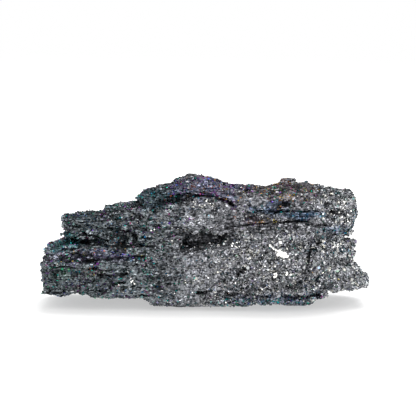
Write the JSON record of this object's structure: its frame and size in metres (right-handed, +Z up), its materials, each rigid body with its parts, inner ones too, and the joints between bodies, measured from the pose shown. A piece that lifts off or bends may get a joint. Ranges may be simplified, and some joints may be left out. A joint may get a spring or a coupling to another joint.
{
  "type": "iridescent mineral specimen",
  "caption": "Rough slab of dark metallic plate crystals grown together in uneven beds, with a blue, green and violet sheen, lying flat on its base.",
  "frame": {"origin": "on the surface that the specimen rests on, under the middle of its box", "axes": "+X along the specimen towards its coarse bright end, +Z up, -Y out of its front"},
  "size_m": [0.109, 0.0468, 0.0426],
  "materials": {
    "crystal": "steel-grey metallic plate crystals with an iridescent blue, green, violet and orange sheen"
  },
  "bodies": {
    "root": {"crystal_mass": "crystal"}
  },
  "joints": []
}
